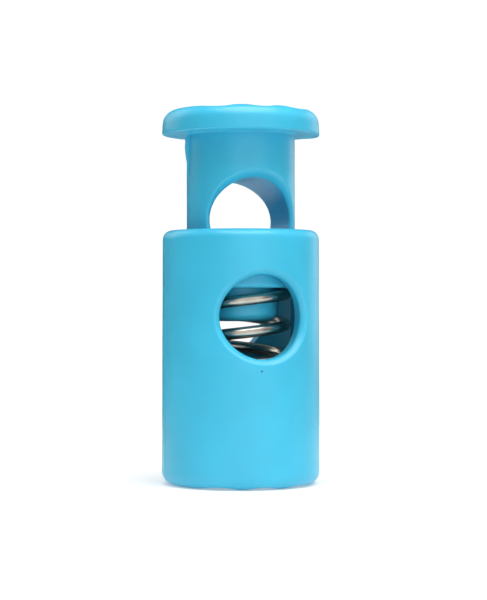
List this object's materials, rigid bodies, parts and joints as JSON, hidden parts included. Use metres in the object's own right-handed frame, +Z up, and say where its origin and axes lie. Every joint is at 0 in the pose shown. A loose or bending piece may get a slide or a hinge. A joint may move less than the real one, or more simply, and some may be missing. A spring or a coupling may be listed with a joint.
{
  "type": "cord lock",
  "caption": "Barrel cord lock: a flat-capped plunger slides in a blind barrel on a steel spring, and cross holes line up when it is pressed.",
  "frame": {"origin": "middle of the barrel's base, on the surface that it stands on", "axes": "+Z up the barrel towards the plunger's cap, +Y along both cord holes, +X across the grip flutes"},
  "size_m": [0.0114, 0.0114, 0.027],
  "materials": {
    "barrel_plastic": "semi-gloss moulded light blue",
    "plunger_plastic": "semi-gloss moulded light blue",
    "spring_wire": "drawn spring wire, bright"
  },
  "bodies": {
    "barrel": {"barrel": "barrel_plastic", "spring": "spring_wire"},
    "plunger": {"plunger": "plunger_plastic"}
  },
  "joints": [
    {"name": "press", "type": "slide", "parent": "barrel", "child": "plunger", "axis": [0, 0, 1], "range_m": [-0.0069, 0], "stiffness_N_per_m": 3000, "springref_m": 0.0015, "deforming": ["spring"]}
  ]
}
